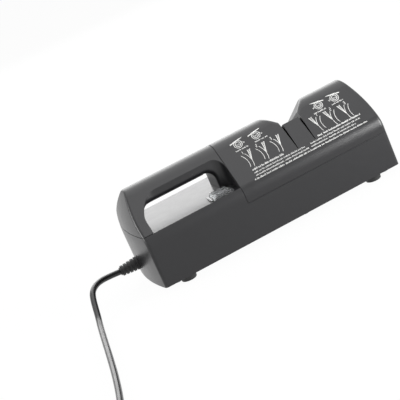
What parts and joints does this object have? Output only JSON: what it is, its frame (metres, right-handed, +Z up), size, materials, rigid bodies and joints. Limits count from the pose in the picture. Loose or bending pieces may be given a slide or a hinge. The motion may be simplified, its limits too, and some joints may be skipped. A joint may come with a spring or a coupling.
{
  "type": "electric knife sharpener",
  "caption": "Electric knife sharpener with a carrying handle, a lift-off cover with two knife slots, a rocker switch under a clear boot and a mains cord.",
  "frame": {"origin": "middle of the housing's footprint on the resting surface, cord left out", "axes": "+X towards the end with the knife slots, -Y towards the side with the switch, +Z up"},
  "size_m": [0.5844, 0.4553, 0.1165],
  "materials": {
    "core_steel": "stamped plates",
    "screw_steel": "zinc plated",
    "satin_abs_base": "satin, very fine moulded grain",
    "zinc_plate": "zinc plated",
    "guide_plastic": "plain moulded",
    "motor_plastic": "plain moulded",
    "component_black": "moulded",
    "board_green": "laminate",
    "cord_rubber": "matte",
    "motor_steel": "plain",
    "foot_rubber": "matte",
    "satin_abs_handle": "satin, very fine moulded grain",
    "lead_insulation": "smooth",
    "abrasive": "gritty",
    "disc_steel": "turned",
    "ferrite": "dull",
    "bronze": "sintered",
    "pin_brass": "bright",
    "rocker_plastic": "polished",
    "clear_boot": "clear, soft",
    "terminal_plastic": "plain moulded",
    "satin_abs_cover": "satin, very fine moulded grain with pale printed marks"
  },
  "bodies": {
    "housing": {"base_screws": "screw_steel", "base_shell": "satin_abs_base", "bearing_bracket": "zinc_plate", "boot_frame": "motor_plastic", "bottom_plate": "zinc_plate", "bracket_screws": "screw_steel", "capacitor": "component_black", "clamp_screws": "screw_steel", "control_board": "board_green", "cord": "cord_rubber", "cord_clamp": "motor_plastic", "cord_coil": "cord_rubber", "foot_front_left": "foot_rubber", "foot_front_right": "foot_rubber", "foot_rear_left": "foot_rubber", "foot_rear_right": "foot_rubber", "foot_screws": "screw_steel", "front_bearing": "motor_steel", "fuse_holder": "motor_plastic", "grip_plate": "satin_abs_handle", "grip_screws": "screw_steel", "handle_screws": "screw_steel", "handle_shell": "satin_abs_handle", "inner_cord": "cord_rubber", "lead_live": "lead_insulation", "lead_neutral": "lead_insulation", "lead_supply": "lead_insulation", "lead_switched": "lead_insulation", "motor_bracket": "zinc_plate", "motor_brushes": "ferrite", "motor_can": "motor_steel", "motor_end_bell": "motor_plastic", "motor_magnets": "ferrite", "outboard_bush": "bronze", "plug_body": "cord_rubber", "plug_pins": "pin_brass", "rear_bearing": "motor_steel", "rectifier": "component_black", "strain_relief": "cord_rubber", "swarf_magnet": "ferrite", "swarf_tray": "guide_plastic", "switch_body": "motor_plastic", "switch_boot": "clear_boot", "terminal_block": "terminal_plastic"},
    "cover": {"top_cover": "satin_abs_cover", "blade_guide_left": "guide_plastic", "blade_guide_right": "guide_plastic"},
    "rotor": {"motor_shaft": "motor_steel", "armature": "core_steel", "cooling_fan": "motor_plastic", "stop_rings": "motor_steel", "disc_spring": "motor_steel"},
    "left_grinding_disc": {"left_disc": "disc_steel", "left_abrasive": "abrasive"},
    "right_grinding_disc": {"right_disc": "disc_steel", "right_abrasive": "abrasive"},
    "switch_rocker": {"rocker": "rocker_plastic"}
  },
  "joints": [
    {"name": "cover_lift", "type": "slide", "parent": "housing", "child": "cover", "axis": [0, 0, 1], "range_m": [0, 0.12]},
    {"name": "rotor_spin", "type": "hinge", "parent": "housing", "child": "rotor", "pos_m": [0.064, 0, 0.057], "axis": [1, 0, 0], "continuous": true},
    {"name": "left_disc_push", "type": "slide", "parent": "rotor", "child": "left_grinding_disc", "axis": [1, 0, 0], "range_m": [0, 0.0015], "stiffness_N_per_m": 2000, "deforming": ["disc_spring"]},
    {"name": "right_disc_push", "type": "slide", "parent": "rotor", "child": "right_grinding_disc", "axis": [-1, 0, 0], "range_m": [0, 0.0015], "stiffness_N_per_m": 2000, "deforming": ["disc_spring"]},
    {"name": "rocker_tilt", "type": "hinge", "parent": "housing", "child": "switch_rocker", "pos_m": [-0.0518, -0.0395, 0.0655], "axis": [0, 1, 0], "range_deg": [0, 20]}
  ]
}
